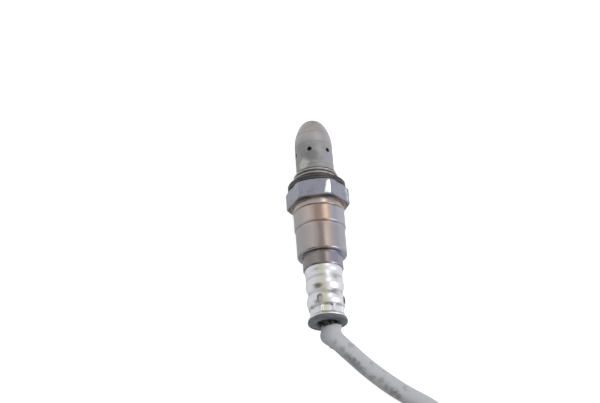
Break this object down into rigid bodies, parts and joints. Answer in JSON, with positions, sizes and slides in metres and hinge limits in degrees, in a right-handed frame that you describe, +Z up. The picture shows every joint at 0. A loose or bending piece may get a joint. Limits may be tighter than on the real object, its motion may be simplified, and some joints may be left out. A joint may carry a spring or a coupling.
{
  "type": "oxygen sensor",
  "caption": "Exhaust oxygen sensor with a perforated bullet guard, threaded hexagon shell with seat gasket, crimped vented cover, sleeved lead and sealed connector.",
  "frame": {"origin": "on the thread axis, in the plane of the gasket's sealing face", "axes": "+Y along the thread axis towards the guard's tip; +Z up as the sensor lies on a flat surface; +X to the right seen from the lead's end"},
  "size_m": [0.0836, 0.227, 0.0232],
  "materials": {
    "guard_steel": "matt heat-resistant steel, greyed by heat and exhaust",
    "shell_steel": "machined steel, satin with a slate tint",
    "gasket_steel": "dark scaled sheet steel",
    "casing_steel": "drawn stainless steel with brown heat tint",
    "cover_steel": "bright crimped stainless steel",
    "filter_white": "porous white sleeve",
    "grommet_rubber": "dark slate rubber",
    "element_ceramic": "pale fired ceramic",
    "holder_ceramic": "cream fired ceramic",
    "talc": "pressed talc powder",
    "washer_metal": "plain steel",
    "contact_metal": "spring steel",
    "sleeve_weave": "grey woven glass-fibre sleeve with smudges",
    "tie_plastic": "black plastic strap",
    "band_shrink": "black shrunk tubing",
    "core_colours": "coloured lead insulation",
    "plug_plastic": "black moulded plastic",
    "pin_metal": "tinned terminals",
    "seal_rubber": "red-brown silicone seal",
    "lock_plastic": "pale moulded plastic"
  },
  "bodies": {
    "root": {"outer_guard": "guard_steel", "inner_guard": "guard_steel", "shell": "shell_steel", "seat_gasket": "gasket_steel", "rear_casing": "casing_steel", "filter_cover": "cover_steel", "vent_filter": "filter_white", "grommet": "grommet_rubber", "sensing_element": "element_ceramic", "lower_insulator": "holder_ceramic", "ceramic_sleeve": "holder_ceramic", "contact_holder": "holder_ceramic", "talc_ring": "talc", "packing_washer": "washer_metal", "crimp_ring": "washer_metal", "holder_clip": "washer_metal", "contact_springs": "contact_metal", "crimp_ferrules": "contact_metal", "lead_run": "sleeve_weave", "lead_coil": "sleeve_weave", "lead_tail": "sleeve_weave", "lead_tie": "tie_plastic", "sleeve_band": "band_shrink", "inner_leads": "core_colours", "connector_leads": "core_colours", "connector_housing": "plug_plastic", "connector_pins": "pin_metal", "rear_seal": "seal_rubber", "terminal_lock": "lock_plastic"}
  },
  "joints": []
}
